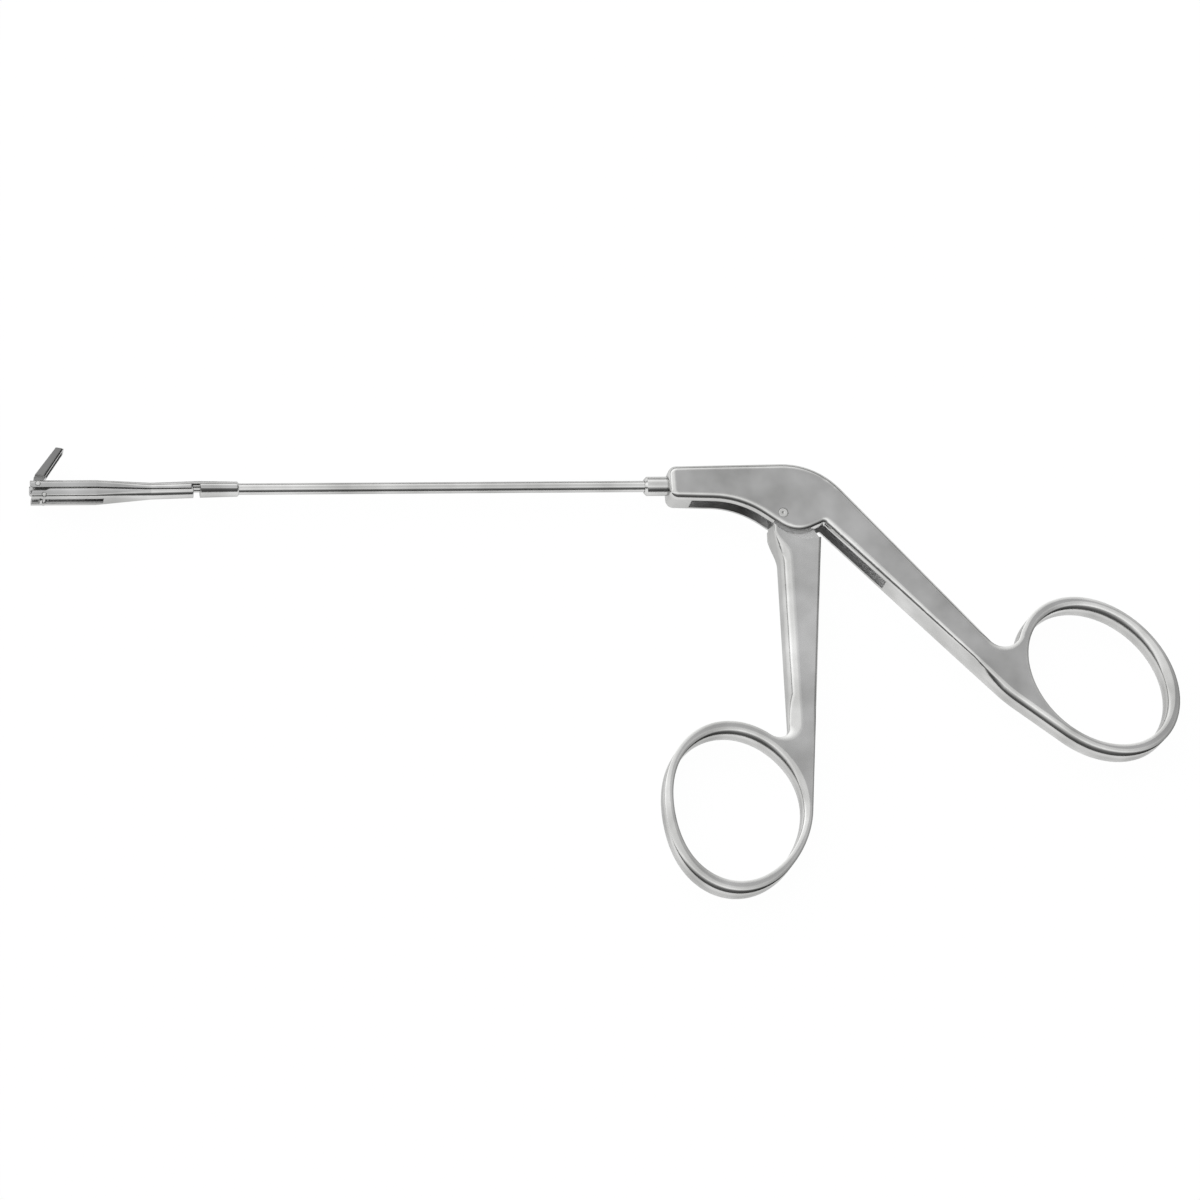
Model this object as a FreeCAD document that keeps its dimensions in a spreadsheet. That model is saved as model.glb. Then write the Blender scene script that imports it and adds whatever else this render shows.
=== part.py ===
"""Antrum punch: a ring-handled surgical punch with a backward-biting jaw, lying on its side.

Lengths are in millimetres and angles in degrees. X runs along the shaft towards the handles, Y points
across the shaft away from the finger rings, and Z is up. The origin is on the side face that the punch
rests on: X is zero at the main pivot, Y is zero on the centreline of the shaft.
The punch stands open, as it lies on a tray.
"""
import FreeCAD, Part
import math
import os

import Sketcher
from FreeCAD import Placement, Rotation, Vector

SIZES = {
    # body and fixed arm, seen from the side
    "body_thickness": 6.0,
    "body_front": -19.1,
    "body_top_front": 2.75,
    "body_top_rear": 3.15,
    "body_bottom_front": -3.1,
    "shoulder_round": 13.0,
    "arm_top_x": 6.55,
    "throat_x": -6.9,
    "throat_y": -3.52,
    "throat_round": 15.0,
    "boss_x": 1.9,
    "boss_y": -10.1,
    "boss_round": 5.3,
    "apex_x": 7.05,
    "apex_y": -7.85,
    "apex_round": 0.3,
    "arm_knee_x": 36.5,
    "arm_knee_y": -38.6,
    "arm_knee_round": 22.0,
    "front_corner_round": 1.4,
    "arm_top_angle": -49.8,
    "handle_edge_round": 1.15,
    "ring_edge_round": 0.55,
    "web_blend": 3.2,
    # rear finger ring
    "rear_ring_x": 52.2,
    "rear_ring_y": -35.6,
    "rear_hole_long": 13.6,
    "rear_hole_short": 10.85,
    "rear_ring_turn": -48.3,
    "rear_ring_egg": 0.0,
    "rear_egg_turn": 0.0,
    "rear_rim_end": 1.75,
    "rear_rim_side": 1.15,
    "rear_round_reach": 17.5,
    # front finger ring
    "front_ring_x": -12.1,
    "front_ring_y": -57.15,
    "front_hole_long": 12.9,
    "front_hole_short": 11.1,
    "front_ring_turn": 91.0,
    "front_ring_egg": 0.3,
    "front_egg_turn": 8.0,
    "front_rim_end": 1.65,
    "front_rim_side": 1.15,
    "front_web_blend": 2.4,
    "front_round_reach": 15.5,
    # lever: front arm, tongue and fork
    "pivot_y": -6.06,
    "pivot_pin_diameter": 1.7,
    "pin_edge": 0.1,
    "centre_mark": 0.25,
    "squeeze_angle": 18.2,
    "arm_rear_top_x": 6.25,
    "arm_rear_top_y": -10.2,
    "arm_front_x": -0.95,
    "arm_front_y": -14.0,
    "arm_front_low_x": -1.8,
    "arm_front_low_y": -40.0,
    "arm_heel_x": -1.9,
    "arm_heel_y": -9.3,
    "arm_nose_round": 1.9,
    "arm_back_round": 0.5,
    "tongue_thickness": 3.0,
    "slot_side_gap": 0.08,
    "shoulder_cut_x": 3.9,
    "shoulder_cut_y": -3.9,
    "shoulder_cut_radius": 6.9,
    "fork_front_wall": 1.1,
    "fork_rear_wall": 1.2,
    "fork_tip": 7.0,
    "fork_seat": 5.9,
    "fork_corner_round": 0.4,
    "tongue_waist": 2.6,
    "arm_heel_round": 0.8,
    "arm_front_round": 4.0,
    # slot in the body
    "slot_front": -15.3,
    "slot_roof": 1.55,
    "slot_corner_round": 1.0,
    "slot_back_wall": 2.3,
    "slot_end_x": 17.0,
    "slot_end_depth": 2.6,
    # rod and shaft
    "rod_diameter": 1.0,
    "ball_diameter": 2.0,
    "ball_side_gap": 0.06,
    "tube_diameter": 1.9,
    "running_gap": 0.05,
    "seat_gap": 0.01,
    "rod_slit_gap": 0.12,
    "rod_in_core": 5.0,
    "rod_in_ball": 0.6,
    "link_pin_setback": 2.5,
    "rear_ferrule_front": -22.95,
    "rear_ferrule_wall": 0.675,
    "rear_spigot_wall": 0.35,
    "rear_ferrule_chamfer": 0.4,
    "tip_ferrule_rear": -91.5,
    "tip_ferrule_front": -97.84,
    "tip_ferrule_wall": 0.43,
    "tip_ferrule_end_wall": 0.3,
    "tip_ferrule_chamfer": 0.2,
    "tube_seat_depth": 4.4,
    # tip
    "tip_nose": -125.8,
    "tip_nose_round": 0.5,
    "tip_width": 4.3,
    "tip_height": 3.0,
    "tip_centre_y": -0.45,
    "tip_corner_round": 0.45,
    "tip_taper_start": -115.0,
    "tip_taper_end": -106.0,
    "neck_diameter": 2.78,
    "neck_sag": 0.25,
    "split_y": -0.3,
    "split_gap": 0.12,
    "jaw_pivot_x": -124.5,
    "jaw_pivot_y": 0.39,
    "jaw_pin_diameter": 0.8,
    "drive_pin_diameter": 0.7,
    "crank_height": 1.9,
    "jaw_open_angle": 54.0,
    "root_slot_width": 1.9,
    "root_side_gap": 0.1,
    "window_width": 3.0,
    "window_side_gap": 0.06,
    "window_start": -122.9,
    "window_end": -116.5,
    "slider_slot_end": -113.8,
    "slider_nose": -125.6,
    "slider_nose_step": 0.35,
    "slider_nose_length": 3.0,
    "slider_rear": -99.0,
    "core_width": 1.7,
    "core_top": 0.55,
    "groove_gap": 0.08,
    "core_length": 8.6,
    "notch_relief": 0.3,
    "stop_gap": 0.4,
    "link_pin_diameter": 0.5,
    "jaw_rest_angle": 53.5,
    "jaw_back_offset": 1.45,
    "jaw_root_radius": 0.95,
    "jaw_block_start": 1.85,
    "jaw_back_length": 7.2,
    "jaw_face_length": 7.8,
    "jaw_face_base": -0.1,
    "jaw_face_tip": 0.3,
    "jaw_rim": 0.35,
    "jaw_bevel": 0.3,
    "jaw_cup_depth": 0.5,
    "tail_length": 2.45,
    "tail_width": 1.75,
    "drive_slot_gap": 0.06,
    "pin_head_rise": 0.08,
}

os.makedirs("parts", exist_ok=True)
doc = FreeCAD.newDocument("antrum_punch")
sheet = doc.addObject("Spreadsheet::Sheet", "sizes")
for row, (alias, value) in enumerate(SIZES.items(), start=1):
    sheet.set(f"A{row}", alias)
    sheet.set(f"B{row}", str(value))
    sheet.setAlias(f"B{row}", alias)
doc.recompute()

MIDDLE = "sizes.body_thickness / 2"
# half a stroke is how far the ball and the drive pin stand behind their pivots when the punch is open
HALF_STROKE = "sizes.crank_height * tan(sizes.jaw_open_angle * 1 deg / 2)"
BALL_X = "-sizes.pivot_y * tan(sizes.squeeze_angle * 1 deg / 2)"
DRIVE_PIN_X = "sizes.jaw_pivot_x + " + HALF_STROKE


def size(alias):
    """A driving size, read back from the sheet."""
    return float(sheet.get(alias))


class Ring:
    """An oval outline: an ellipse with a slight egg shape, as one smooth closed curve.

    The seam, in degrees, is where the curve starts and ends: a side that the arm covers.
    """

    def __init__(self, x, y, long_radius, short_radius, turn, seam=0.0, egg=0.0, egg_turn=0.0):
        self.centre = Vector(x, y, 0)
        self.long_radius = long_radius
        self.short_radius = short_radius
        self.turn = math.radians(turn)
        self.egg = egg
        self.egg_turn = math.radians(egg_turn)
        self.curve = Part.BSplineCurve()
        self.curve.interpolate(
            Points=[self.oval_point(math.radians(seam + angle)) for angle in range(0, 360, 15)],
            PeriodicFlag=True)

    def oval_point(self, angle):
        from_axis = angle - self.turn
        ellipse = self.long_radius * self.short_radius / math.hypot(
            self.short_radius * math.cos(from_axis), self.long_radius * math.sin(from_axis))
        radius = ellipse + self.egg * math.cos(3 * (angle - self.egg_turn))
        return self.centre + Vector(math.cos(angle), math.sin(angle), 0) * radius

    def place(self, angle):
        """The position along the curve at this angle, in degrees."""
        return self.curve.parameter(self.oval_point(math.radians(angle)))

    def outward(self, place):
        along = Vector(*self.curve.tangent(place)[0])
        return Vector(along.y, -along.x, 0)

    def run(self, start, end):
        """The stretch of the curve between two places, given in rising order."""
        stretch = self.curve.copy()
        stretch.segment(start, end)
        return stretch


def solve(function, low, high):
    """The value between low and high where the function is zero."""
    rising = function(high) > function(low)
    for _ in range(60):
        middle = (low + high) / 2
        if (function(middle) > 0) == rising:
            high = middle
        else:
            low = middle
    return (low + high) / 2


def touch_place(ring, start, low, high):
    """Where a line from the start point touches the ring, between two angles."""
    return solve(lambda place: (ring.curve.value(place) - start).dot(ring.outward(place)),
                 ring.place(low), ring.place(high))


def blend_place(ring, point, outward, radius, low, high):
    """Where an arc of this radius touches the ring when it also touches a line through the point."""

    def miss(place):
        centre = ring.curve.value(place) + ring.outward(place) * radius
        return (centre - point).dot(outward) - radius

    return solve(miss, ring.place(low), ring.place(high))


def rounded_path(corners):
    """Lines from corner to corner, each inner corner rounded by the radius given with it."""
    pieces = []
    here = corners[0][0]
    for (before, _), (corner, radius), (after, _) in zip(corners, corners[1:], corners[2:]):
        inward = (before - corner).normalize()
        outward = (after - corner).normalize()
        if radius == 0:
            pieces.append(Part.LineSegment(here, corner))
            here = corner
            continue
        half_angle = inward.getAngle(outward) / 2
        start = corner + inward * (radius / math.tan(half_angle))
        end = corner + outward * (radius / math.tan(half_angle))
        middle = corner + (inward + outward).normalize() * (radius / math.sin(half_angle) - radius)
        pieces.append(Part.LineSegment(here, start))
        pieces.append(Part.Arc(start, middle, end))
        here = end
    pieces.append(Part.LineSegment(here, corners[-1][0]))
    return pieces


def blend_foot(ring, place, outward, radius):
    """Where the arc that leaves the ring at this place meets the arm."""
    return ring.curve.value(place) + ring.outward(place) * radius - outward * radius


def blend_arc(ring, place, foot, radius):
    """The arc from the ring to its foot on the arm."""
    start = ring.curve.value(place)
    centre = start + ring.outward(place) * radius
    middle = centre + ((start - centre) + (foot - centre)).normalize() * radius
    return Part.Arc(start, middle, foot)


def rear_outline():
    """The body, the fixed arm and the rim of its ring, as one line seen from the side."""
    rim = finger_ring("rear", 180, True)
    slope = math.radians(size("arm_top_angle"))
    outward = Vector(-math.sin(slope), math.cos(slope), 0)
    shoulder = Vector(size("arm_top_x"), size("body_top_rear"), 0)
    knee = Vector(size("arm_knee_x"), size("arm_knee_y"), 0)
    blend = size("web_blend")
    touch = touch_place(rim, knee, -150, -80)
    leave = blend_place(rim, shoulder, outward, blend, 90, 175)
    foot = blend_foot(rim, leave, outward, blend)
    body = rounded_path([
        (foot, 0),
        (shoulder, size("shoulder_round")),
        (Vector(size("body_front"), size("body_top_front"), 0), size("front_corner_round")),
        (Vector(size("body_front"), size("body_bottom_front"), 0), size("front_corner_round")),
        (Vector(size("throat_x"), size("throat_y"), 0), size("throat_round")),
        (Vector(size("boss_x"), size("boss_y"), 0), size("boss_round")),
        (Vector(size("apex_x"), size("apex_y"), 0), size("apex_round")),
        (knee, size("arm_knee_round")),
        (rim.curve.value(touch), 0)])
    return [rim.run(touch, leave), blend_arc(rim, leave, foot, blend)] + body


def front_outline():
    """The moving arm with its tongue and fork, and the rim of its ring."""
    rim = finger_ring("front", 40, True)
    rear_top = Vector(size("arm_rear_top_x"), size("arm_rear_top_y"), 0)
    front_top = Vector(size("arm_front_x"), size("arm_front_y"), 0)
    front_low = Vector(size("arm_front_low_x"), size("arm_front_low_y"), 0)
    up_arm = (front_top - front_low).normalize()
    forward = Vector(-up_arm.y, up_arm.x, 0)
    blend = size("front_web_blend")
    touch = touch_place(rim, rear_top, -60, 35)
    leave = blend_place(rim, front_low, forward, blend, 45, 110)
    foot = blend_foot(rim, leave, forward, blend)
    pivot = Vector(0, size("pivot_y"), 0)
    lean = math.radians(size("squeeze_angle") / 2)
    reach = Vector(math.sin(lean), math.cos(lean), 0)
    across = Vector(math.cos(lean), -math.sin(lean), 0)
    half_gap = size("ball_diameter") / 2 + size("ball_side_gap")
    front_side = across * -(half_gap + size("fork_front_wall"))
    rear_side = across * (half_gap + size("fork_rear_wall"))
    tip = pivot + reach * size("fork_tip")
    root = pivot + reach * size("tongue_waist")
    arm = rounded_path([
        (foot, 0),
        (front_top, size("arm_front_round")),
        (Vector(size("arm_heel_x"), size("arm_heel_y"), 0), size("arm_heel_round")),
        (root + front_side, size("fork_corner_round")),
        (tip + front_side, size("fork_corner_round")),
        (tip + rear_side, size("fork_corner_round")),
        (root + rear_side, size("fork_corner_round")),
        (rear_top, size("arm_heel_round")),
        (rim.curve.value(touch), 0)])
    return arm + [rim.run(leave, touch), blend_arc(rim, leave, foot, blend)]


def extruded(label, pieces, length, middle=None):
    """A side profile given depth along Z, from the resting face or both ways from the middle plane."""
    profile = doc.addObject("Sketcher::SketchObject", label + "_profile")
    profile.addGeometry(pieces, False)
    for index in range(len(pieces)):
        profile.addConstraint(Sketcher.Constraint("Block", index))
    solid = doc.addObject("Part::Extrusion", label)
    solid.Base = profile
    solid.DirMode = "Normal"
    solid.Solid = True
    solid.setExpression("LengthFwd", length)
    if middle:
        solid.Symmetric = True
        profile.setExpression("Placement.Base.z", middle)
    return solid


def cut(label, base, tools):
    """The base with every tool taken away."""
    if len(tools) > 1:
        tool = doc.addObject("Part::MultiFuse", label + "_tools")
        tool.Shapes = tools
    else:
        tool = tools[0]
    result = doc.addObject("Part::Cut", label)
    result.Base = base
    result.Tool = tool
    return result


def box(label, x, y, z, length, width, height):
    """A block whose low corner and three sizes are expressions of the sheet."""
    block = doc.addObject("Part::Box", label)
    for path, expression in [("Length", length), ("Width", width), ("Height", height),
                             ("Placement.Base.x", x), ("Placement.Base.y", y), ("Placement.Base.z", z)]:
        block.setExpression(path, expression)
    return block


def rod_along_z(label, x, y, z, radius, length):
    """A round hole or pin across the punch."""
    cylinder = doc.addObject("Part::Cylinder", label)
    for path, expression in [("Radius", radius), ("Height", length), ("Placement.Base.x", x),
                             ("Placement.Base.y", y), ("Placement.Base.z", z)]:
        cylinder.setExpression(path, expression)
    return cylinder


def turned(label, corners, across=False):
    """A turned piece. Corners are (place along the axis, radius) as expressions of the sheet.

    The axis is the shaft's centreline, or Z through the origin for a piece that lies across.
    """
    body = doc.addObject("PartDesign::Body", label)
    profile = body.newObject("Sketcher::SketchObject", label + "_profile")
    role = "XZ_Plane" if across else "XY_Plane"
    plane = next(item for item in body.Origin.OriginFeatures if item.Role == role)
    profile.AttachmentSupport = (plane, [""])
    profile.MapMode = "FlatFace"
    along_kind, radius_kind = ("DistanceY", "DistanceX") if across else ("DistanceX", "DistanceY")
    places = []
    for along, radius in corners:
        place = Vector(float(sheet.evalExpression(along)), float(sheet.evalExpression(radius)), 0)
        places.append(Vector(place.y, place.x, 0) if across else place)
    count = len(corners)
    for index in range(count):
        profile.addGeometry(Part.LineSegment(places[index], places[(index + 1) % count]), False)
    for index in range(count):
        profile.addConstraint(Sketcher.Constraint("Coincident", index, 2, (index + 1) % count, 1))
    for index, (along, radius) in enumerate(corners):
        for name, kind, expression in [("along", along_kind, along), ("radius", radius_kind, radius)]:
            value = float(sheet.evalExpression(expression))
            number = profile.addConstraint(Sketcher.Constraint(kind, index, 1, value))
            profile.renameConstraint(number, f"{name}_{index}")
            profile.setExpression(f"Constraints.{name}_{index}", expression)
    revolve = body.newObject("PartDesign::Revolution", label + "_turned")
    revolve.Profile = profile
    revolve.ReferenceAxis = (profile, ["V_Axis" if across else "H_Axis"])
    revolve.Angle = 360
    body.Tip = revolve
    if not across:
        body.setExpression("Placement.Base.z", "sizes.body_thickness / 2")
    return body


def edge_rounds(label, base, radius_at):
    """Both side faces' edges rounded, with the radius that each end of an edge asks for."""
    doc.recompute()
    rounds = doc.addObject("Part::Fillet", label)
    rounds.Base = base
    faces = (0.0, size("body_thickness"))
    edges = []
    for number, edge in enumerate(base.Shape.Edges, start=1):
        bounds = edge.BoundBox
        if any(abs(bounds.ZMin - face) < 1e-6 and abs(bounds.ZMax - face) < 1e-6 for face in faces):
            start = edge.Vertexes[0].Point
            end = edge.Vertexes[-1].Point
            edges.append((number, radius_at(start), radius_at(end)))
    rounds.Edges = edges
    return rounds


def finger_ring(which, seam, rim):
    """One finger ring's hole, or its rim when the rim's extra radii count."""
    extra_long = size(which + "_rim_end") if rim else 0
    extra_short = size(which + "_rim_side") if rim else 0
    return Ring(size(which + "_ring_x"), size(which + "_ring_y"),
                size(which + "_hole_long") + extra_long, size(which + "_hole_short") + extra_short,
                size(which + "_ring_turn"), seam, size(which + "_ring_egg"),
                size(which + "_egg_turn"))


def make_rear_handle():
    """The forged body, its fixed arm and finger ring, slotted from below for the moving arm."""
    blank = extruded("rear_blank", rear_outline(), "sizes.body_thickness")
    hole = extruded("rear_hole", [finger_ring("rear", 180, False).curve], "sizes.body_thickness")
    opened = cut("rear_opened", blank, [hole])
    centre = Vector(size("rear_ring_x"), size("rear_ring_y"), 0)

    def radius_at(point):
        near_ring = Vector(point.x, point.y, 0).distanceToPoint(centre) < size("rear_round_reach")
        return size("ring_edge_round") if near_ring else size("handle_edge_round")

    rounded = edge_rounds("rear_rounded", opened, radius_at)

    slope = math.radians(size("arm_top_angle"))
    outward = Vector(-math.sin(slope), math.cos(slope), 0)
    down_arm = Vector(math.cos(slope), math.sin(slope), 0)
    shoulder = Vector(size("arm_top_x"), size("body_top_rear"), 0)
    back = shoulder - outward * size("slot_back_wall")
    roof_corner = back + down_arm * ((size("slot_roof") - back.y) / down_arm.y)
    apex = Vector(size("apex_x"), size("apex_y"), 0)
    knee = Vector(size("arm_knee_x"), size("arm_knee_y"), 0)
    underside = (knee - apex).normalize()
    inward = Vector(-underside.y, underside.x, 0)
    end_mouth = apex + underside * ((size("slot_end_x") - apex.x) / underside.x)
    end_floor = end_mouth + inward * size("slot_end_depth")
    below = end_mouth - inward * size("body_thickness")
    slot = extruded("body_slot", rounded_path([
        (Vector(size("slot_front"), below.y, 0), 0),
        (Vector(size("slot_front"), size("slot_roof"), 0), size("slot_corner_round")),
        (roof_corner, size("slot_corner_round")),
        (end_floor, size("slot_corner_round")),
        (below, 0)]) + [Part.LineSegment(below, Vector(size("slot_front"), below.y, 0))],
        "sizes.tongue_thickness + 2 * sizes.slot_side_gap", MIDDLE)
    pin_hole = rod_along_z("body_pin_hole", "0 mm", "sizes.pivot_y", "0 mm",
                           "sizes.pivot_pin_diameter / 2 + sizes.seat_gap", "sizes.body_thickness")
    bore = doc.addObject("Part::Cylinder", "body_shaft_bore")
    bore.setExpression("Radius", "sizes.tube_diameter / 2 + sizes.rear_spigot_wall + sizes.seat_gap")
    bore.setExpression("Height", "sizes.slot_front - sizes.body_front")
    bore.Placement = Placement(Vector(), Rotation(Vector(0, 1, 0), 90))
    bore.setExpression("Placement.Base.x", "sizes.body_front")
    bore.setExpression("Placement.Base.z", MIDDLE)
    return cut("rear_handle", rounded, [slot, pin_hole, bore])


def make_front_handle():
    """The moving arm: its ring below, and above the pivot a thinner tongue that forks round the ball."""
    blank = extruded("front_blank", front_outline(), "sizes.body_thickness")
    hole = extruded("front_hole", [finger_ring("front", 40, False).curve], "sizes.body_thickness")
    opened = cut("front_opened", blank, [hole])
    centre = Vector(size("front_ring_x"), size("front_ring_y"), 0)

    def radius_at(point):
        if Vector(point.x, point.y, 0).distanceToPoint(centre) < size("front_round_reach"):
            return size("ring_edge_round")
        below_heel = point.y < size("arm_heel_y") - size("arm_heel_round")
        if point.x < 0 and below_heel:
            return size("arm_nose_round")
        return size("arm_back_round")

    rounded = edge_rounds("front_rounded", opened, radius_at)

    step = "(sizes.body_thickness - sizes.tongue_thickness) / 2"
    far_face = "sizes.body_thickness - " + step
    tools = []
    for side, start in [("near", far_face), ("far", "0 mm")]:
        tools.append(rod_along_z(side + "_shoulder_cut", "sizes.shoulder_cut_x",
                                 "sizes.shoulder_cut_y", start, "sizes.shoulder_cut_radius", step))
        tools.append(box(side + "_tongue_cut", "sizes.shoulder_cut_x - 2 * sizes.shoulder_cut_radius",
                         "sizes.shoulder_cut_y", start, "4 * sizes.shoulder_cut_radius",
                         "2 * sizes.shoulder_cut_radius", step))
    tools.append(rod_along_z("tongue_pin_hole", "0 mm", "sizes.pivot_y", "0 mm",
                             "sizes.pivot_pin_diameter / 2 + sizes.running_gap",
                             "sizes.body_thickness"))
    # the fork's slot and the rod's slit lean with the tongue
    lean = Rotation(Vector(0, 0, 1), -size("squeeze_angle") / 2)
    pivot = Vector(0, size("pivot_y"), 0)
    half_slot = size("ball_diameter") / 2 + size("ball_side_gap")
    thickness = size("body_thickness")
    reach = size("fork_tip") - size("fork_seat") + half_slot
    seat = Part.makeCylinder(half_slot, thickness, Vector(0, size("fork_seat"), 0))
    mouth = Part.makeBox(2 * half_slot, reach, thickness,
                         Vector(-half_slot, size("fork_seat"), 0))
    slit_width = size("rod_diameter") + 2 * size("rod_slit_gap")
    slit_floor = size("fork_seat") - half_slot
    slit = Part.makeBox(2 * size("fork_front_wall"), 2 * reach, slit_width,
                        Vector(-half_slot - 1.5 * size("fork_front_wall"), slit_floor,
                               (thickness - slit_width) / 2))
    fork = doc.addObject("Part::Feature", "fork_slot")
    fork.Shape = seat.fuse(mouth).fuse(slit)
    fork.Placement = Placement(pivot, lean)
    tools.append(fork)
    return cut("front_handle", rounded, tools)


def make_pivot_pin():
    """The main pivot: a riveted pin, flush with both side faces, with a centre mark at each end."""
    half = "sizes.pivot_pin_diameter / 2"
    pin = turned("pivot_pin", [
        ("sizes.centre_mark", "0 mm"), ("0 mm", "sizes.centre_mark"),
        ("0 mm", half + " - sizes.pin_edge"), ("sizes.pin_edge", half),
        ("sizes.body_thickness - sizes.pin_edge", half),
        ("sizes.body_thickness", half + " - sizes.pin_edge"),
        ("sizes.body_thickness", "sizes.centre_mark"),
        ("sizes.body_thickness - sizes.centre_mark", "0 mm")], across=True)
    pin.setExpression("Placement.Base.y", "sizes.pivot_y")
    return pin


def make_shaft_tube():
    """The long thin tube between the tip and the body."""
    bore = "sizes.rod_diameter / 2 + sizes.running_gap"
    start = "sizes.tip_ferrule_rear - sizes.tube_seat_depth"
    return turned("shaft_tube", [
        (start, bore), (start, "sizes.tube_diameter / 2"),
        ("sizes.slot_front", "sizes.tube_diameter / 2"), ("sizes.slot_front", bore)])


def make_rear_ferrule():
    """The collar that seats the tube in the body."""
    bore = "sizes.tube_diameter / 2 + sizes.seat_gap"
    collar = "sizes.tube_diameter / 2 + sizes.rear_ferrule_wall"
    return turned("rear_ferrule", [
        ("sizes.rear_ferrule_front", bore),
        ("sizes.rear_ferrule_front", collar + " - sizes.rear_ferrule_chamfer"),
        ("sizes.rear_ferrule_front + sizes.rear_ferrule_chamfer", collar),
        ("sizes.body_front", collar),
        ("sizes.body_front", "sizes.tube_diameter / 2 + sizes.rear_spigot_wall"),
        ("sizes.slot_front", "sizes.tube_diameter / 2 + sizes.rear_spigot_wall"),
        ("sizes.slot_front", bore)])


def tip_section(label, x, width, height, centre_y, corner):
    """One cross-section of the tip: a rectangle with rounded corners, standing across the shaft."""
    half_width = width / 2
    half_height = height / 2
    corners = [Vector(x, side * half_height, other * half_width)
               for side, other in [(-1, -1), (1, -1), (1, 1), (-1, 1)]]
    start = Vector(x, 0, -half_width)
    path = [(start, 0), (corners[1], corner), (corners[2], corner), (corners[3], corner),
            (corners[0], corner), (start, 0)]
    section = doc.addObject("Part::Feature", label)
    section.Shape = Part.Wire([piece.toShape() for piece in rounded_path(path)])
    section.Placement = Placement(Vector(0, centre_y, size("body_thickness") / 2), Rotation())
    return section


def make_tip_blank(label):
    """The outer form that the fixed tip and the slider share: flat-sided in front, a round neck behind."""
    flat = (size("tip_width"), size("tip_height"), size("tip_centre_y"), size("tip_corner_round"))
    neck = size("neck_diameter")
    # corners of nearly half the width make the neck round
    round_corner = neck / 2 - size("seat_gap")
    ahead = size("tip_nose") - size("tip_height")
    sections = [
        tip_section(label + "_front", ahead, *flat),
        tip_section(label + "_taper", size("tip_taper_start"), *flat),
        tip_section(label + "_neck", size("tip_taper_end"), neck, neck, -size("neck_sag"), round_corner),
        tip_section(label + "_end", size("tip_ferrule_front"), neck, neck, 0, round_corner)]
    blank = doc.addObject("Part::Loft", label)
    blank.Sections = sections
    blank.Solid = True
    blank.Ruled = True
    return blank


def make_tip_carrier():
    """The fixed half of the tip with its cutting window, in one piece with the ferrule on the tube."""
    top = size("tip_height")
    nose = size("tip_nose")
    end = size("tip_ferrule_front")
    split = size("split_y")
    nose_round = size("tip_nose_round")
    upper = extruded("fixed_side", rounded_path([
        (Vector(end, split, 0), 0), (Vector(end, top, 0), 0),
        (Vector(nose, top, 0), 0), (Vector(nose, split, 0), nose_round), (Vector(end, split, 0), 0)]),
        "2 * sizes.tip_width", MIDDLE)
    fixed = doc.addObject("Part::Common", "fixed_half")
    fixed.Base = make_tip_blank("fixed_blank")
    fixed.Tool = upper
    bore = "sizes.rod_diameter / 2 + sizes.running_gap"
    seat = "sizes.tube_diameter / 2 + sizes.seat_gap"
    mouth = "sizes.tip_ferrule_rear - sizes.tube_seat_depth"
    end_radius = "sizes.tube_diameter / 2 + sizes.tip_ferrule_end_wall"
    ferrule = turned("tip_ferrule", [
        ("sizes.tip_ferrule_front", bore),
        ("sizes.tip_ferrule_front", "sizes.tube_diameter / 2 + sizes.tip_ferrule_wall"),
        ("sizes.tip_ferrule_rear - sizes.tip_ferrule_chamfer", end_radius),
        ("sizes.tip_ferrule_rear", end_radius + " - sizes.tip_ferrule_chamfer"),
        ("sizes.tip_ferrule_rear", seat), (mouth, seat), (mouth, bore)])
    whole = doc.addObject("Part::Fuse", "tip_whole")
    whole.Base = fixed
    whole.Tool = ferrule
    groove = "sizes.core_width / 2 + sizes.groove_gap"
    groove_start = ("sizes.slider_rear - sizes.core_length - sizes.groove_gap"
                    " - sizes.stop_gap - 2 * " + HALF_STROKE)
    deep = "2 * sizes.tip_height"
    below_top = "sizes.core_top + sizes.groove_gap - 2 * sizes.tip_height"
    root = "sizes.root_slot_width"
    return cut("tip_carrier", whole, [
        box("root_slot", "sizes.tip_nose - sizes.tip_width", "-sizes.tip_height",
            "sizes.body_thickness / 2 - sizes.root_slot_width / 2",
            "sizes.window_start - sizes.tip_nose + 2 * sizes.tip_width", deep, root),
        box("window", "sizes.window_start", "-sizes.tip_height",
            "sizes.body_thickness / 2 - sizes.window_width / 2",
            "sizes.window_end - sizes.window_start", deep, "sizes.window_width"),
        box("core_groove", groove_start, below_top, "sizes.body_thickness / 2 - (" + groove + ")",
            "sizes.tip_ferrule_front - (" + groove_start + ")", deep, "2 * (" + groove + ")"),
        box("notch", "sizes.slider_rear - sizes.notch_relief", below_top, "0 mm",
            "sizes.tip_ferrule_front - sizes.slider_rear + sizes.notch_relief", deep,
            "sizes.body_thickness"),
        rod_along_z("jaw_pin_hole", "sizes.jaw_pivot_x", "sizes.jaw_pivot_y", "0 mm",
                    "sizes.jaw_pin_diameter / 2 + sizes.seat_gap", "sizes.body_thickness")])


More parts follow.
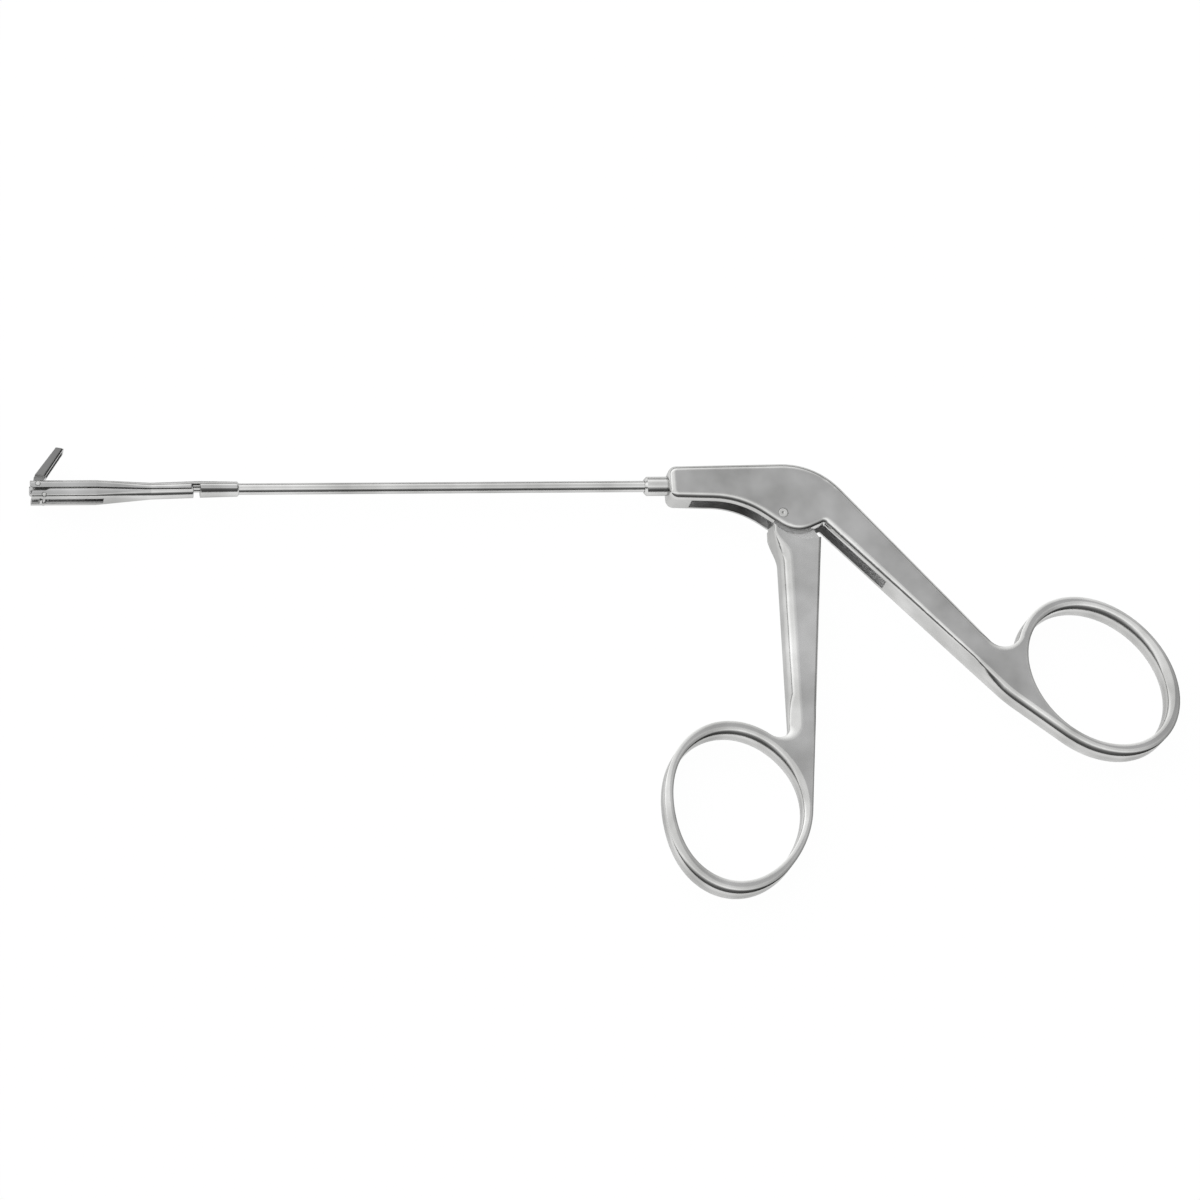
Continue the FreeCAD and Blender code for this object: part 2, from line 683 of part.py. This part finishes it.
def make_tip_slider():
    """The sliding half of the tip: open-bottomed under the window, with a core that the rod drives."""
    top = size("split_y") - size("split_gap")
    nose = size("slider_nose")
    rear = size("slider_rear")
    below = -2 * size("tip_height")
    step = size("slider_nose_step")
    lower = extruded("slider_side", rounded_path([
        (Vector(rear, below, 0), 0), (Vector(rear, top, 0), 0),
        (Vector(nose + size("slider_nose_length"), top, 0), 0),
        (Vector(nose + size("slider_nose_length") - 2 * step, top - step, 0), 0),
        (Vector(nose, top - step, 0), size("tip_nose_round")),
        (Vector(nose, below, 0), 0), (Vector(rear, below, 0), 0)]),
        "2 * sizes.tip_width", MIDDLE)
    half = doc.addObject("Part::Common", "slider_half")
    half.Base = make_tip_blank("slider_blank")
    half.Tool = lower
    core = box("slider_core", "sizes.slider_rear - sizes.core_length",
               "-sizes.core_top - sizes.split_gap - sizes.neck_sag",
               "sizes.body_thickness / 2 - sizes.core_width / 2", "sizes.core_length",
               "2 * sizes.core_top + sizes.split_gap + sizes.neck_sag", "sizes.core_width")
    whole = doc.addObject("Part::Fuse", "slider_whole")
    whole.Base = half
    whole.Tool = core
    rod_hole = doc.addObject("Part::Cylinder", "core_rod_hole")
    rod_hole.setExpression("Radius", "sizes.rod_diameter / 2 + sizes.seat_gap")
    rod_hole.setExpression("Height", "sizes.rod_in_core")
    rod_hole.Placement = Placement(Vector(), Rotation(Vector(0, 1, 0), 90))
    rod_hole.setExpression("Placement.Base.x", "sizes.slider_rear - sizes.rod_in_core")
    rod_hole.setExpression("Placement.Base.z", MIDDLE)
    return cut("tip_slider", whole, [
        box("ejection_slot", "sizes.slider_nose - sizes.tip_width", "-2 * sizes.tip_height",
            "sizes.body_thickness / 2 - sizes.root_slot_width / 2",
            "sizes.slider_slot_end - sizes.slider_nose + sizes.tip_width", "4 * sizes.tip_height",
            "sizes.root_slot_width"),
        rod_along_z("drive_pin_hole", DRIVE_PIN_X, "sizes.jaw_pivot_y - sizes.crank_height",
                    "0 mm", "sizes.drive_pin_diameter / 2 + sizes.seat_gap",
                    "sizes.body_thickness"),
        rod_along_z("link_pin_hole", "sizes.slider_rear - sizes.link_pin_setback", "0 mm", "0 mm",
                    "sizes.link_pin_diameter / 2 + sizes.seat_gap", "sizes.body_thickness"),
        rod_hole])


def make_jaw():
    """The backward-biting punch: a hollow-faced block on a narrow root, with a forked tail below."""
    middle = size("body_thickness") / 2
    wide = size("window_width") - 2 * size("window_side_gap")
    thin = size("root_slot_width") - 2 * size("root_side_gap")
    back = size("jaw_back_offset")
    root_radius = size("jaw_root_radius")
    face_base = Vector(root_radius, size("jaw_face_base"), 0)
    face_tip = Vector(size("jaw_face_length"), size("jaw_face_tip"), 0)
    block_side = [face_base, face_tip, Vector(size("jaw_back_length"), back, 0), Vector(root_radius, back, 0)]

    def slab(points, width):
        face = Part.Face(Part.makePolygon(points + points[:1]))
        solid = face.extrude(Vector(0, 0, width))
        solid.translate(Vector(0, 0, -width / 2))
        return solid

    block = slab(block_side, wide)
    face_middle = (face_base.y + face_tip.y) / 2
    face_edges = [edge for edge in block.Edges if abs(edge.CenterOfMass.y - face_middle) < 1e-6
                  and abs(edge.CenterOfMass.z) > thin / 2]
    block = block.makeChamfer(size("jaw_bevel"), face_edges)
    block = block.cut(Part.makeCylinder(size("jaw_block_start"), wide, Vector(0, 0, -wide / 2)))
    rim = size("jaw_rim")
    cup = Part.makeBox(size("jaw_face_length") - size("jaw_block_start") - 2 * rim, back,
                       wide - 2 * rim - 2 * size("jaw_bevel"))
    cup.translate(Vector(size("jaw_block_start") + rim,
                         size("jaw_face_tip") + size("jaw_cup_depth") - back,
                         -(wide - 2 * rim - 2 * size("jaw_bevel")) / 2))
    block = block.cut(cup)
    web = slab([Vector(0, root_radius, 0), Vector(0, -root_radius / 2, 0), face_base,
                Vector(size("jaw_block_start") + rim, size("jaw_face_base"), 0),
                Vector(size("jaw_block_start") + rim, back, 0), Vector(root_radius, back, 0)], thin)
    boss = Part.makeCylinder(root_radius, thin, Vector(0, 0, -thin / 2))
    half_tail = size("tail_width") / 2
    tail = Part.makeBox(size("tail_width"), size("tail_length"), thin,
                        Vector(-half_tail, -size("tail_length"), -thin / 2))
    half_slot = size("drive_pin_diameter") / 2 + size("drive_slot_gap")
    slot_top = size("crank_height") - half_slot
    slot = Part.makeBox(2 * half_slot, size("tail_length"), thin,
                        Vector(-half_slot, -slot_top - size("tail_length"), -thin / 2))
    tail = tail.cut(slot)
    # in the closed pose the tail leans forward by half the jaw's swing
    tail.rotate(Vector(), Vector(0, 0, 1), -size("jaw_open_angle") / 2)
    bore = Part.makeCylinder(size("jaw_pin_diameter") / 2 + size("running_gap"), wide,
                             Vector(0, 0, -wide / 2))
    jaw = doc.addObject("Part::Feature", "jaw")
    jaw.Shape = block.fuse([web, boss, tail]).removeSplitter().cut(bore)
    jaw.Placement = Placement(Vector(size("jaw_pivot_x"), size("jaw_pivot_y"), middle),
                              Rotation(Vector(0, 0, 1), size("jaw_rest_angle")))
    return jaw


def make_tip_pin(label, diameter, x, y):
    """A riveted pin right across the tip, its ends slightly raised."""
    half = diameter + " / 2"
    near = "(sizes.body_thickness + sizes.tip_width) / 2"
    far = "(sizes.body_thickness - sizes.tip_width) / 2"
    rise = "sizes.pin_head_rise"
    pin = turned(label, [
        (far + " - " + rise, "0 mm"), (far + " - " + rise, half + " - " + rise), (far, half),
        (near, half), (near + " + " + rise, half + " - " + rise), (near + " + " + rise, "0 mm")],
        across=True)
    pin.setExpression("Placement.Base.x", x)
    pin.setExpression("Placement.Base.y", y)
    return pin


def make_link_pin():
    """The small pin that locks the rod in the slider's core."""
    half = "sizes.link_pin_diameter / 2"
    near = "(sizes.body_thickness + sizes.core_width) / 2"
    far = "(sizes.body_thickness - sizes.core_width) / 2"
    pin = turned("rod_link_pin", [(far, "0 mm"), (far, half), (near, half), (near, "0 mm")],
                 across=True)
    pin.setExpression("Placement.Base.x", "sizes.slider_rear - sizes.link_pin_setback")
    return pin


def make_push_rod():
    """The long rod inside the tube, from the slider's core to the ball."""
    half = "sizes.rod_diameter / 2"
    start = "sizes.slider_rear - sizes.rod_in_core"
    end = BALL_X + " + sizes.rod_in_ball"
    rod = turned("rod_blank", [(start, "0 mm"), (start, half), (end, half), (end, "0 mm")])
    hole = rod_along_z("rod_link_hole", "sizes.slider_rear - sizes.link_pin_setback", "0 mm", "0 mm",
                       "sizes.link_pin_diameter / 2 + sizes.seat_gap", "sizes.body_thickness")
    return cut("push_rod", rod, [hole])


def make_rod_ball():
    """The ball on the rod's end that the fork pushes."""
    ball = doc.addObject("Part::Sphere", "ball_blank")
    ball.setExpression("Radius", "sizes.ball_diameter / 2")
    hole = doc.addObject("Part::Cylinder", "ball_hole")
    hole.setExpression("Radius", "sizes.rod_diameter / 2 + sizes.seat_gap")
    hole.setExpression("Height", "sizes.ball_diameter / 2 + sizes.rod_in_ball")
    hole.Placement = Placement(Vector(), Rotation(Vector(0, 1, 0), 90))
    for item, x in [(ball, BALL_X), (hole, BALL_X + " - sizes.ball_diameter / 2")]:
        item.setExpression("Placement.Base.x", x)
        item.setExpression("Placement.Base.z", MIDDLE)
    return cut("rod_ball", ball, [hole])


PIECES = [
    make_rear_handle(),
    make_front_handle(),
    make_pivot_pin(),
    make_shaft_tube(),
    make_rear_ferrule(),
    make_tip_carrier(),
    make_tip_slider(),
    make_jaw(),
    make_tip_pin("jaw_pivot_pin", "sizes.jaw_pin_diameter", "sizes.jaw_pivot_x", "sizes.jaw_pivot_y"),
    make_tip_pin("drive_pin", "sizes.drive_pin_diameter", DRIVE_PIN_X,
                 "sizes.jaw_pivot_y - sizes.crank_height"),
    make_link_pin(),
    make_push_rod(),
    make_rod_ball(),
]
doc.recompute()

for item in doc.Objects:
    if "Invalid" in item.State or "Error" in item.State:
        raise RuntimeError(f"{item.Label} failed: {item.State}")
for piece in PIECES:
    shape = piece.Shape
    if shape.isNull() or not shape.isValid() or not shape.Solids:
        raise RuntimeError(f"{piece.Label} has no sound shape")
    shape.exportStep(f"parts/{piece.Label}.step")
    print(f"{piece.Label}: {len(shape.Solids)} solid, {shape.Volume:.2f} cubic millimetres")
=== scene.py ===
# %% [markdown]
# An antrum punch in Blender: a ring-handled surgical punch of stainless steel. Its solids come from a CAD
# model, already the right shape and size, so this lesson is about the camera, the light and the steel.
# Everything is in metres. X runs along the shaft to the handles, Y across it, away from the rings, and Z up.

# %% Load the solids
import math

import bpy
from mathutils import Matrix, Vector

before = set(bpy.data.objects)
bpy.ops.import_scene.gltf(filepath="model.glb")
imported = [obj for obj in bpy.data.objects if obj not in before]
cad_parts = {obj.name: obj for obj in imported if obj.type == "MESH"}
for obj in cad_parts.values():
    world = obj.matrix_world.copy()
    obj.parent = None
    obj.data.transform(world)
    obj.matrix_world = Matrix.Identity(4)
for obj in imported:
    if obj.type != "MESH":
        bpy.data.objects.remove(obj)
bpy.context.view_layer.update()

# %% [markdown]
# A product photograph of a long thin thing is taken from far off with a long lens, so that nothing looks
# stretched. The camera stands 0.7 m from the middle of the punch, nearly over it, and leans towards the
# finger rings, so that the undersides of the arms show.

# %% Camera
MM = 0.001
LOOK_AT = Vector((-32.05, -20.28, 3.0)) * MM
TOWARDS_CAMERA = Vector((-0.187, -0.335, 0.9235)).normalized()
CAMERA_DISTANCE = 0.7
CAMERA_ROLL = math.radians(4.557)
LENS_MM = 126
SENSOR_MM = 36
NEAREST_SEEN = 0.05

up = (Vector((0, 1, 0)) - TOWARDS_CAMERA * TOWARDS_CAMERA.y).normalized()
right = up.cross(TOWARDS_CAMERA)
turn = Matrix((right, up, TOWARDS_CAMERA)).transposed() @ Matrix.Rotation(-CAMERA_ROLL, 3, "Z")
lens = bpy.data.cameras.new("long_lens")
lens.lens = LENS_MM
lens.sensor_width = SENSOR_MM
lens.clip_start = NEAREST_SEEN
camera = bpy.data.objects.new("camera", lens)
camera.matrix_world = Matrix.Translation(LOOK_AT + TOWARDS_CAMERA * CAMERA_DISTANCE) @ turn.to_4x4()
bpy.context.scene.collection.objects.link(camera)
bpy.context.scene.camera = camera
print("the picture is", round(SENSOR_MM / LENS_MM * CAMERA_DISTANCE / MM), "mm wide at the punch")

# %% [markdown]
# Colours are written as they look on a screen, as hex, and Blender works in linear light. One function
# turns the first into the second. Another adds a node with its settings, values and links in one line,
# which keeps a material readable from top to bottom. It names sockets by their identifiers, because a node
# such as Mix has several sockets that show the same name.


# %% Two helpers
def linear(hex_colour):
    """A screen colour such as "c0c0c0" as linear red, green, blue and alpha."""
    shares = [int(hex_colour[place:place + 2], 16) / 255 for place in (0, 2, 4)]
    return [share / 12.92 if share <= 0.04045 else ((share + 0.055) / 1.055) ** 2.4
            for share in shares] + [1.0]


def add_node(tree, kind, links=None, values=None, settings=None, stops=None):
    """A new node. A link comes from an output, or from the first output of a node.

    Stops fill a colour ramp, as (place, colour) or as (place, level of grey).
    """
    node = tree.nodes.new(kind)
    for name, value in (settings or {}).items():
        setattr(node, name, value)
    sockets = {socket.identifier: socket for socket in node.inputs}
    for name, value in (values or {}).items():
        sockets[name].default_value = value
    for name, source in (links or {}).items():
        output = source.outputs[0] if hasattr(source, "outputs") else source
        tree.links.new(output, sockets[name])
    for number, (place, colour) in enumerate(stops or []):
        elements = node.color_ramp.elements
        element = elements[number] if number < 2 else elements.new(place)
        element.position = place
        element.color = linear(colour) if isinstance(colour, str) else (colour, colour, colour, 1.0)
    return node


print("the grey c0c0c0 is", round(linear("c0c0c0")[0], 2), "in linear light")

# %% [markdown]
# A polishing wheel rounds what it touches, a little more than the solids show. So the shine is bent, and
# the shape never is. A crown leans the shine of a flat face one way at one edge and the other way at the
# other, so that it shines as if it bulged. On the handles that holds only for the walls of the finger
# rings: it fades out with the distance from the ring's middle, where the arm begins.

# %% Crowned shine
CROWN_WHOLE_TO = 17 * MM
CROWN_GONE_FROM = 22 * MM


def crowned(tree, place, shine, crown, ring):
    """The shine of a face that seems to bulge.

    A crown is an axis, two places along it in millimetres, and how much the face seems to lean at each.
    With a ring, given by its middle, the rest of the piece stays as it is.
    """
    axis, start, end, lean_at_start, lean_at_end = crown
    height = add_node(tree, "ShaderNodeSeparateXYZ", {"Vector": place}).outputs[axis]
    lean = add_node(tree, "ShaderNodeMapRange", {"Value": height},
                    {"From Min": start * MM, "From Max": end * MM,
                     "To Min": lean_at_start, "To Max": lean_at_end})
    if ring:
        away = add_node(tree, "ShaderNodeVectorMath", {"Vector": place}, {"Vector_001": ring},
                        {"operation": "DISTANCE"}).outputs["Value"]
        near = add_node(tree, "ShaderNodeMapRange", {"Value": away},
                        {"From Min": CROWN_WHOLE_TO, "From Max": CROWN_GONE_FROM,
                         "To Min": 1.0, "To Max": 0.0})
        lean = add_node(tree, "ShaderNodeMath", {"Value": lean, "Value_001": near},
                        settings={"operation": "MULTIPLY"})
    aside = add_node(tree, "ShaderNodeCombineXYZ", {axis: lean})
    leaning = add_node(tree, "ShaderNodeVectorMath", {"Vector": shine, "Vector_001": aside})
    return add_node(tree, "ShaderNodeVectorMath", {"Vector": leaning}, settings={"operation": "NORMALIZE"})


print("a ring's crown fades out", round(CROWN_WHOLE_TO / MM), "to", round(CROWN_GONE_FROM / MM),
      "mm from the ring's middle")

# %% [markdown]
# Stainless steel is a mirror whose fine roughness spreads each reflection. What the eye calls satin,
# ground or polished is only the size and direction of that roughness. The handles are blasted with fine
# glass beads, which leaves a greyer, soft surface, and then their edges are polished bright on a wheel.
# The mask finds those edges by the way the surface faces: the side faces look straight up or down, and
# every rounded edge and narrow wall looks slantwise. Three noises of different size give the rest: clouds
# of slightly different grey, the gentle waviness that hand polishing leaves, and the grain of the finish.
# Deep in the slots, where neither wheel nor beads reach, the steel keeps the rough finish of the milling
# cutter, and its colour is painted paler there: painted light that brightens the insides of the slots.

# %% Steel
POLISHED_TO = 0.965
SATIN_FROM = 0.998
CLOUD_SIZE = 9 * MM
CLOUD_GREYS = ("d0d0cf", "ffffff")
WAVE_LENGTH = 12 * MM
NOISE_LOW, NOISE_HIGH = 0.3, 0.7
UNEVENNESS = 0.12
SLOT_WIDTH = 4 * MM
SHUT_IN, OPEN_TO_AIR = 0.3, 0.6
MILLED_ROUGHNESS = 0.7
# Every steel's reflection is tinted darker at grazing angles: painted shade, a painted dark reflection along
# each silhouette.
PAINTED_DARK_RIM_TINT = "d0d0d0"
SMOOTH_SAMPLES = 8
SLOT_SAMPLES = 6


def steel(name, bright, satin, roughness, grain, streaks=(1, 1, 1), edge_mm=0.0, wave_mm=0.05,
          crown=None, ring=None, milled_and_painted_light=None):
    """Stainless steel, polished at its edges and satin on its side faces.

    Bright and satin are the two colours, and the roughness is that of the polished and of the satin
    steel. The grain has a size and a height in millimetres, and streaks stretch it along an axis where
    the piece was ground in one direction. The wheel softens the look of every edge by edge_mm and leaves
    waves wave_mm high. The last colour is that of the steel deep in a slot, paler than the rest: partly
    the bare finish of the milling cutter and partly painted light that brightens the slot.
    """
    material = bpy.data.materials.new(name)
    material.use_nodes = True
    tree = material.node_tree
    tree.nodes.clear()
    place = add_node(tree, "ShaderNodeTexCoord").outputs["Object"]
    along = add_node(tree, "ShaderNodeMapping", {"Vector": place}, {"Scale": streaks})
    clouds = add_node(tree, "ShaderNodeTexNoise", {"Vector": place},
                      {"Scale": 1 / CLOUD_SIZE, "Detail": 3.0})
    waves = add_node(tree, "ShaderNodeTexNoise", {"Vector": place},
                     {"Scale": 1 / WAVE_LENGTH, "Detail": 1.0})
    grain_mm, grain_height_mm = grain
    grains = add_node(tree, "ShaderNodeTexNoise", {"Vector": along},
                      {"Scale": 1 / (grain_mm * MM), "Detail": 2.0})

    # The mask: nought on polished steel, one on satin steel.
    normal = add_node(tree, "ShaderNodeNewGeometry").outputs["Normal"]
    facing = add_node(tree, "ShaderNodeSeparateXYZ", {"Vector": normal})
    level = add_node(tree, "ShaderNodeMath", {"Value": facing.outputs["Z"]},
                     settings={"operation": "ABSOLUTE"})
    satin_share = add_node(tree, "ShaderNodeValToRGB", {"Fac": level},
                           stops=[(POLISHED_TO, 0.0), (SATIN_FROM, 1.0)])

    # Colour and roughness.
    colour = add_node(tree, "ShaderNodeMix", {"Factor_Float": satin_share},
                      {"A_Color": linear(bright), "B_Color": linear(satin)}, {"data_type": "RGBA"})
    cloudy = add_node(tree, "ShaderNodeValToRGB", {"Fac": clouds},
                      stops=list(zip((NOISE_LOW, NOISE_HIGH), CLOUD_GREYS)))
    tinted = add_node(tree, "ShaderNodeMix", {"A_Color": colour.outputs[2], "B_Color": cloudy},
                      {"Factor_Float": 1.0}, {"data_type": "RGBA", "blend_type": "MULTIPLY"})
    polished_roughness, satin_roughness = roughness
    even = add_node(tree, "ShaderNodeMapRange", {"Value": satin_share},
                    {"To Min": polished_roughness, "To Max": satin_roughness})
    uneven = add_node(tree, "ShaderNodeMapRange", {"Value": grains},
                      {"From Min": NOISE_LOW, "From Max": NOISE_HIGH,
                       "To Min": 1 - UNEVENNESS, "To Max": 1 + UNEVENNESS})
    rough = add_node(tree, "ShaderNodeMath", {"Value": even, "Value_001": uneven},
                     settings={"operation": "MULTIPLY"})
    # Deep in a slot the steel turns rougher, from the milling, and paler, partly from the milling and partly
    # as painted light in the recesses.
    if milled_and_painted_light:
        openness = add_node(tree, "ShaderNodeAmbientOcclusion", values={"Distance": SLOT_WIDTH},
                            settings={"samples": SLOT_SAMPLES}).outputs["AO"]
        milled_and_painted_light_share = add_node(tree, "ShaderNodeMapRange", {"Value": openness},
                                {"From Min": SHUT_IN, "From Max": OPEN_TO_AIR,
                                 "To Min": 1.0, "To Max": 0.0})
        tinted = add_node(tree, "ShaderNodeMix",
                          {"Factor_Float": milled_and_painted_light_share, "A_Color": tinted.outputs[2]},
                          {"B_Color": linear(milled_and_painted_light)}, {"data_type": "RGBA"})
        rough = add_node(tree, "ShaderNodeMix", {"Factor_Float": milled_and_painted_light_share, "A_Float": rough},
                         {"B_Float": MILLED_ROUGHNESS})

    # The shine: softened edges, crowned faces, then waves and grain.
    shine = normal
    if edge_mm:
        shine = add_node(tree, "ShaderNodeBevel", values={"Radius": edge_mm * MM},
                         settings={"samples": SMOOTH_SAMPLES})
    if crown:
        shine = crowned(tree, place, shine, crown, ring)
    wavy = add_node(tree, "ShaderNodeBump", {"Height": waves, "Normal": shine},
                    {"Strength": 1.0, "Distance": wave_mm * MM})
    bump = add_node(tree, "ShaderNodeBump", {"Height": grains, "Normal": wavy},
                    {"Strength": 1.0, "Distance": grain_height_mm * MM})
    # The Specular Tint paints the reflection darker at grazing angles, painted shade along the silhouettes.
    shader = add_node(tree, "ShaderNodeBsdfPrincipled",
                      {"Base Color": tinted.outputs[2], "Roughness": rough, "Normal": bump},
                      {"Metallic": 1.0, "Specular Tint": linear(PAINTED_DARK_RIM_TINT)})
    add_node(tree, "ShaderNodeOutputMaterial", {"Surface": shader})
    return material


print("polished steel leans more than", round(math.degrees(math.acos(POLISHED_TO))), "degrees")

# %% [markdown]
# Seven steels follow. The two handles share a finish, but each has its own ring to crown. The two halves
# of the tip share one too, and each is crowned over its own width. The jaw's flat faces are ground darker,
# and the pins are turned, so their ends are the brightest.

# %% The steels
REAR_RING = Vector((52.2, -35.6, 3.0)) * MM
FRONT_RING = Vector((-12.1, -57.15, 3.0)) * MM
RING_CROWN = ("Z", 2.2, 6.0, 0.0, 1.9)
# The pale f0f0f0 deep in the slots is partly the milling and partly painted light.
BLASTED = {"bright": "e0e0df", "grain": (0.35, 0.002), "crown": RING_CROWN, "milled_and_painted_light": "f0f0f0"}
GROUND = {"bright": "dcdcdb", "satin": "c0c0c0", "roughness": (0.13, 0.2), "grain": (0.25, 0.001),
          "streaks": (0.15, 1, 1), "edge_mm": 0.3}
blasted_rear = steel("bead_blasted_stainless_steel_rear", satin="bebebe", roughness=(0.15, 0.32),
                     wave_mm=0.17, ring=REAR_RING, **BLASTED)
blasted_front = steel("bead_blasted_stainless_steel_front", satin="c4c4c4", roughness=(0.15, 0.28),
                      wave_mm=0.22, ring=FRONT_RING, **BLASTED)
drawn = steel("drawn_and_polished_stainless_tube", bright="d8d8d7", satin="d2d2d1",
              roughness=(0.18, 0.2), grain=(0.3, 0.0005), streaks=(0.05, 1, 1))
fixed_tip = steel("fine_ground_stainless_steel_above", crown=("Y", -0.35, 1.05, -0.4, 0.4), **GROUND)
sliding_tip = steel("fine_ground_stainless_steel_below", crown=("Y", -1.95, -0.35, -0.3, 0.3), **GROUND)
jaw_steel = steel("fine_ground_stainless_jaw", bright="f0f0ef", satin="8c8c8c",
                  roughness=(0.13, 0.25), grain=(0.25, 0.001), edge_mm=0.15)
pin_steel = steel("turned_stainless_pin", bright="e2e2e1", satin="dcdcdb",
                  roughness=(0.12, 0.18), grain=(0.3, 0.001), edge_mm=0.25)
print("the rings' middles are", round((REAR_RING - FRONT_RING).length / MM), "mm apart")

# %% [markdown]
# Each solid keeps its shape and gets the steel that its maker would give it.

# %% Dress the solids
FINISH = {
    "rear_handle": blasted_rear, "front_handle": blasted_front,
    "shaft_tube": drawn, "rear_ferrule": drawn, "push_rod": drawn, "rod_ball": drawn,
    "tip_carrier": fixed_tip, "tip_slider": sliding_tip, "jaw": jaw_steel,
    "pivot_pin": pin_steel, "jaw_pivot_pin": pin_steel, "drive_pin": pin_steel,
    "rod_link_pin": pin_steel,
}
for name, material in FINISH.items():
    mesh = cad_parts[name].data
    mesh.materials.clear()
    mesh.materials.append(material)
print("dressed", len(FINISH), "of", len(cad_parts), "in", len(set(FINISH.values())), "steels")

# %% [markdown]
# Metal shows what stands round it, so the light matters as much as the steel. The punch lies on a white
# sheet that glows evenly, as on a light table: it fills the undersides and leaves no shadow. The sheet's
# colour is nearly black, because it would otherwise also catch the room's light and turn too bright.

# %% Light table
TABLE_HALF_WIDTH = 2.0
TABLE_GLOW = 0.97
table_mesh = bpy.data.meshes.new("table")
corners = [(x * TABLE_HALF_WIDTH, y * TABLE_HALF_WIDTH, 0) for x, y in ((-1, -1), (1, -1), (1, 1), (-1, 1))]
table_mesh.from_pydata(corners, [], [(0, 1, 2, 3)])
table = bpy.data.objects.new("table", table_mesh)
bpy.context.scene.collection.objects.link(table)
paper = bpy.data.materials.new("white_light_table")
paper.use_nodes = True
paper.node_tree.nodes.clear()
paper_shader = add_node(paper.node_tree, "ShaderNodeBsdfPrincipled",
                        values={"Base Color": linear("303030"), "Roughness": 1.0,
                                "Emission Color": linear("ffffff"), "Emission Strength": TABLE_GLOW})
add_node(paper.node_tree, "ShaderNodeOutputMaterial", {"Surface": paper_shader})
table_mesh.materials.append(paper)
print("the table is", round(2 * TABLE_HALF_WIDTH), "m wide")

# %% [markdown]
# The room above is a studio tent, drawn as two gradients. The first runs over the punch from the far side
# to the near side, about the direction of the shaft. Two pale panels stand each side of a slightly darker
# roof, and low on both sides the tent is dark, most of all on the near one: that draws the thin dark lines
# along the edges. The second runs along the shaft, so that the light is strongest in front of the tip and
# falls off behind the handles. A colour ramp holds nothing brighter than 1, so each gradient is written in
# shares of the brightest value and multiplied back. The camera itself sees white.

# %% Studio tent
BRIGHTEST = 1.25
TENT = [(0, 0.12), (9, 0.22), (20, 0.85), (33, 1.25), (46, 1.2), (60, 0.9), (92, 0.85), (104, 0.95),
        (110, 1.1), (118, 1.05), (126, 0.6), (136, 0.3), (146, 0.12), (172, 0.06), (180, 0.3)]
FALL_OFF = [(-0.5, 1.2), (0.05, 1.15), (0.3, 0.95), (0.5, 0.6), (0.75, 0.35), (1.0, 0.2)]

world = bpy.data.worlds.new("studio_tent")
bpy.context.scene.world = world
world.use_nodes = True
sky = world.node_tree
sky.nodes.clear()
ray = add_node(sky, "ShaderNodeTexCoord").outputs["Generated"]
axes = add_node(sky, "ShaderNodeSeparateXYZ", {"Vector": ray})
over = add_node(sky, "ShaderNodeMath", {"Value": axes.outputs["Z"], "Value_001": axes.outputs["Y"]},
                settings={"operation": "ARCTAN2"})
turn_share = add_node(sky, "ShaderNodeMapRange", {"Value": over}, {"From Min": 0.0, "From Max": math.pi})
tent = add_node(sky, "ShaderNodeValToRGB", {"Fac": turn_share},
                stops=[(angle / 180, radiance / BRIGHTEST) for angle, radiance in TENT])
along_shaft = add_node(sky, "ShaderNodeMapRange", {"Value": axes.outputs["X"]}, {"From Min": -1.0})
fall_off = add_node(sky, "ShaderNodeValToRGB", {"Fac": along_shaft},
                    stops=[((x + 1) / 2, share / BRIGHTEST) for x, share in FALL_OFF])
strength = add_node(sky, "ShaderNodeMath", {"Value": fall_off}, {"Value_001": BRIGHTEST * BRIGHTEST},
                    {"operation": "MULTIPLY"})
studio = add_node(sky, "ShaderNodeBackground", {"Color": tent, "Strength": strength})
backdrop = add_node(sky, "ShaderNodeBackground", values={"Color": linear("ffffff"), "Strength": 1.0})
seen = add_node(sky, "ShaderNodeLightPath").outputs["Is Camera Ray"]
mixed = add_node(sky, "ShaderNodeMixShader", {"Fac": seen, "Shader": studio, "Shader_001": backdrop})
add_node(sky, "ShaderNodeOutputWorld", {"Surface": mixed})
bpy.context.scene.view_settings.view_transform = "Standard"
print("tent stops:", len(TENT), "and along the shaft:", len(FALL_OFF))
